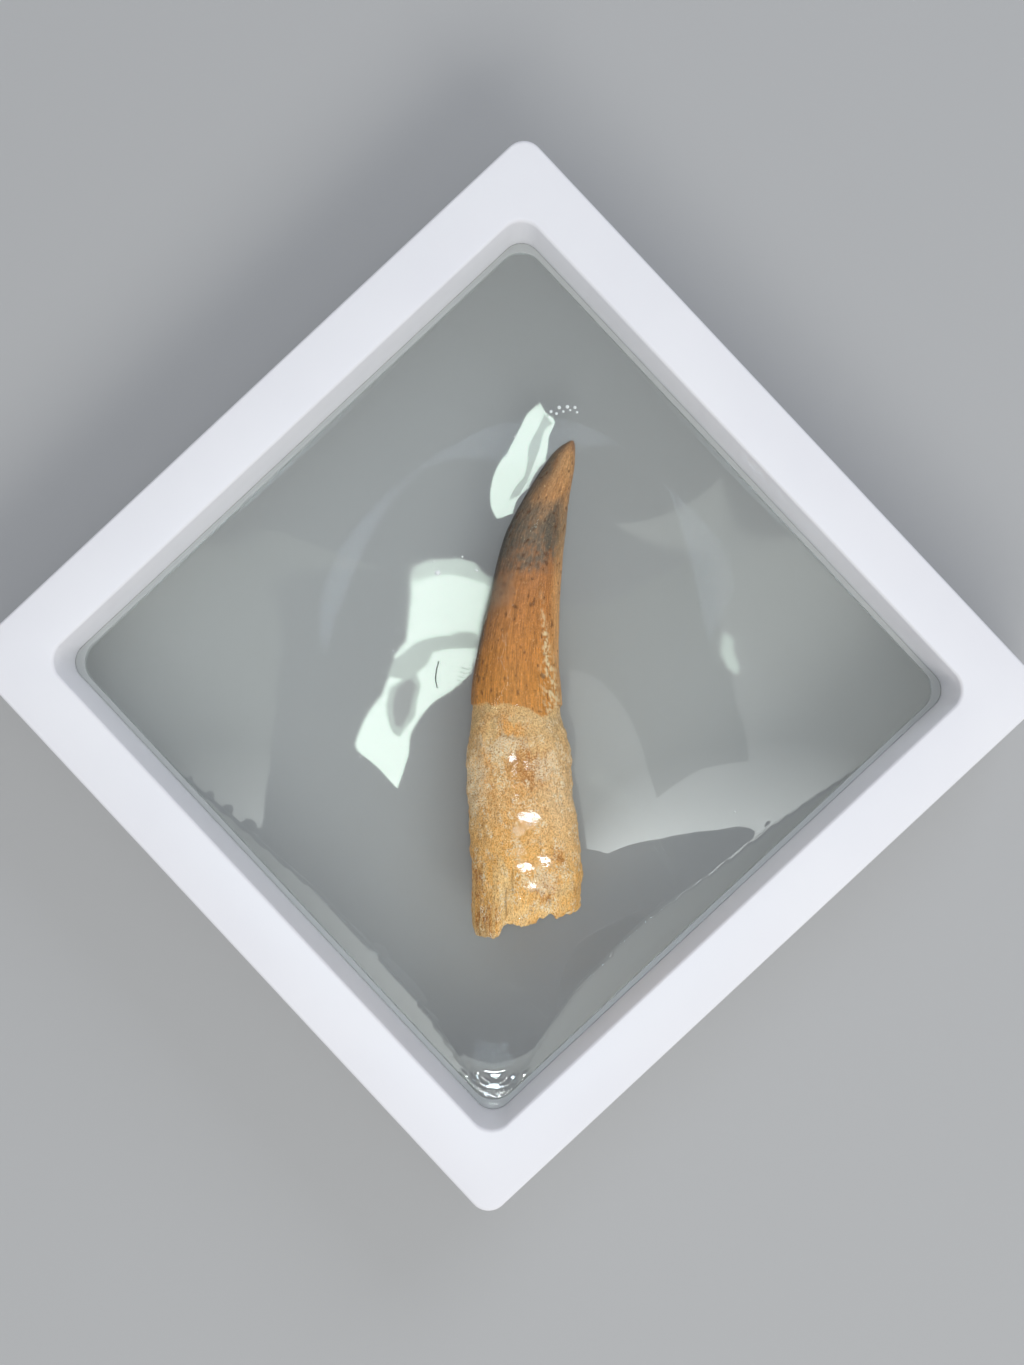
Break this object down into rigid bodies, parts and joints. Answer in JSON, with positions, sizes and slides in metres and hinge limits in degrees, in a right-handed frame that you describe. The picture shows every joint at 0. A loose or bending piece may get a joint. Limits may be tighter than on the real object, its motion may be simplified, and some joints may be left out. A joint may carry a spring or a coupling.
{
  "type": "framed fossil spinosaurus tooth",
  "caption": "Curved fossil tooth with its root, held between stretched clear films in a flat square white display frame that opens on a hinge.",
  "frame": {"origin": "centre of the back face of the frame, on the surface that the object lies on", "axes": "+Z out of the front of the frame, +X and +Y along the frame's sides, hinge along the +Y side, the tooth's tip towards the -X +Y corner"},
  "size_m": [0.11, 0.11, 0.02],
  "materials": {
    "fossil_tooth": "brown enamel crown with fine grooves and a dark band near the tip, granular tan root with cream flecks and a broken end",
    "white_plastic": "cool white moulded plastic with a soft satin shine",
    "clear_film": "thin clear glossy stretched film with a frosted welded rim"
  },
  "bodies": {
    "back_half": {"back_frame": "white_plastic", "back_film": "clear_film", "tooth": "fossil_tooth"},
    "front_half": {"front_frame": "white_plastic", "front_film": "clear_film"}
  },
  "joints": [
    {"name": "frame_hinge", "type": "hinge", "parent": "back_half", "child": "front_half", "pos_m": [0, 0.0536, 0.01], "axis": [-1, 0, 0], "range_deg": [0, 90]}
  ]
}
